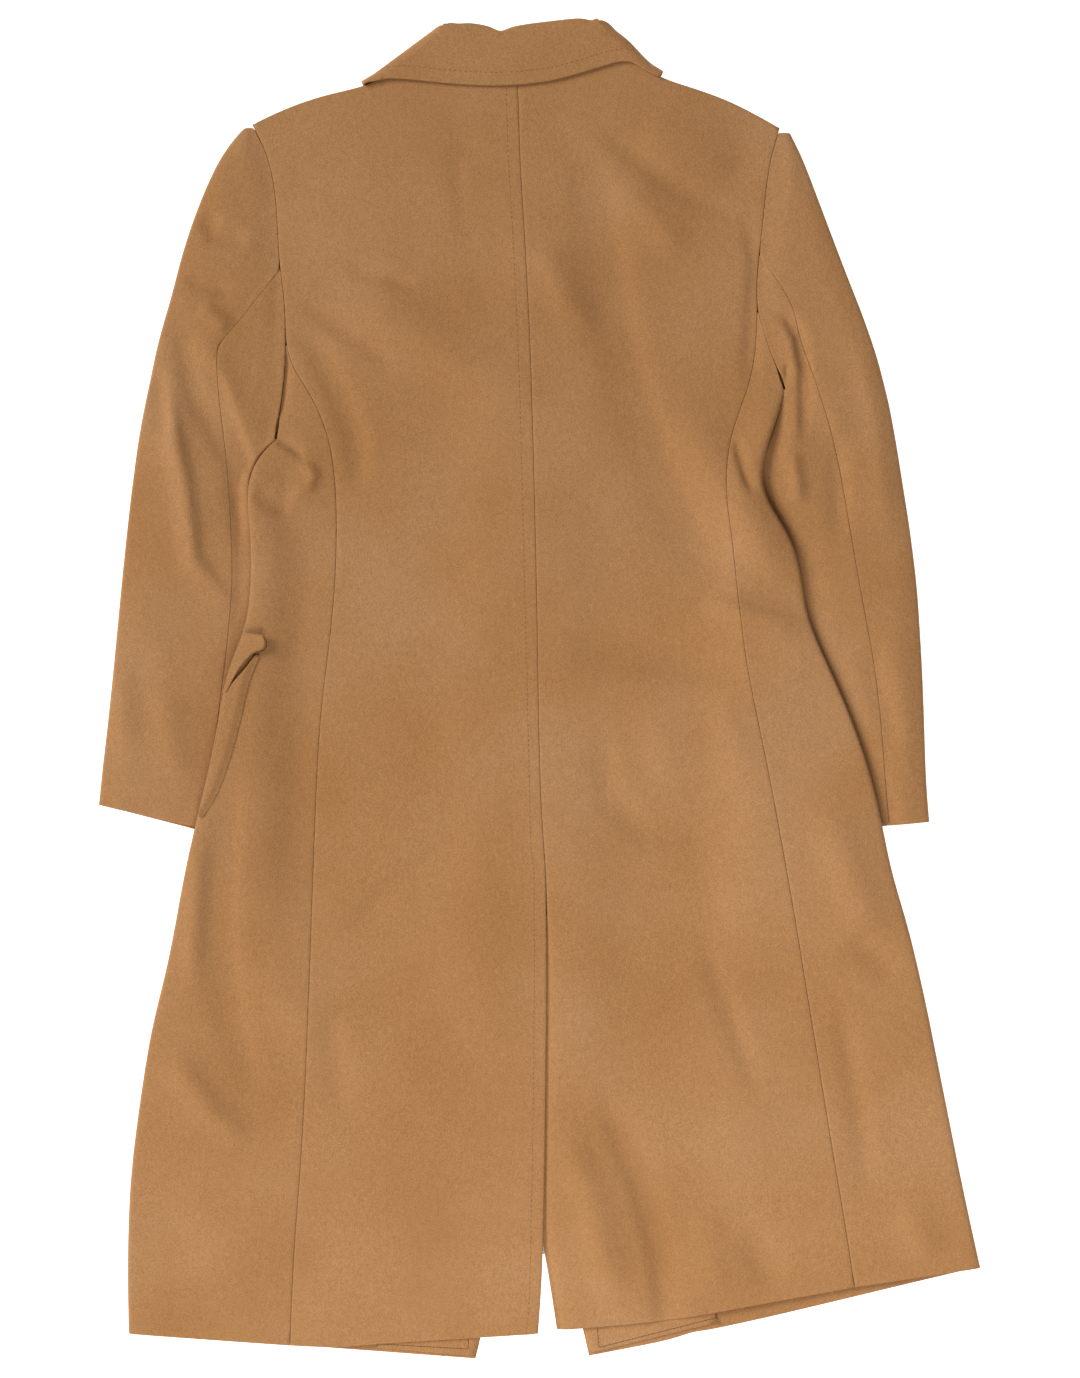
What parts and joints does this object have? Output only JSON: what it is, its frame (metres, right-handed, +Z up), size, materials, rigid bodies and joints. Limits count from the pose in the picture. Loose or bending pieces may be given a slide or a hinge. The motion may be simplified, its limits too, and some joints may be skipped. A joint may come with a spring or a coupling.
{
  "type": "wool overcoat",
  "caption": "Long tailored wool overcoat lying flat, face down, with princess seams, a back vent, two-piece sleeves and a turned-down collar.",
  "frame": {"origin": "on the surface the coat lies on, under the middle of its outline", "axes": "+X across the back to the wearer's right, +Y from the hem to the collar, +Z up from the surface"},
  "size_m": [0.724, 1.1, 0.0224],
  "materials": {
    "wool": "brushed camel wool coating, matte with a soft nap",
    "button": "dark brown horn-like, satin"
  },
  "bodies": {
    "root": {"back_left": "wool", "back_right": "wool", "front_left": "wool", "front_right": "wool", "sleeve_top_left": "wool", "sleeve_under_left": "wool", "sleeve_top_right": "wool", "sleeve_under_right": "wool", "collar": "wool", "pocket_welt_left": "wool", "pocket_end_left": "wool", "facing_left": "wool", "facing_right": "wool", "button_1": "button", "button_2": "button", "button_3": "button"}
  },
  "joints": []
}
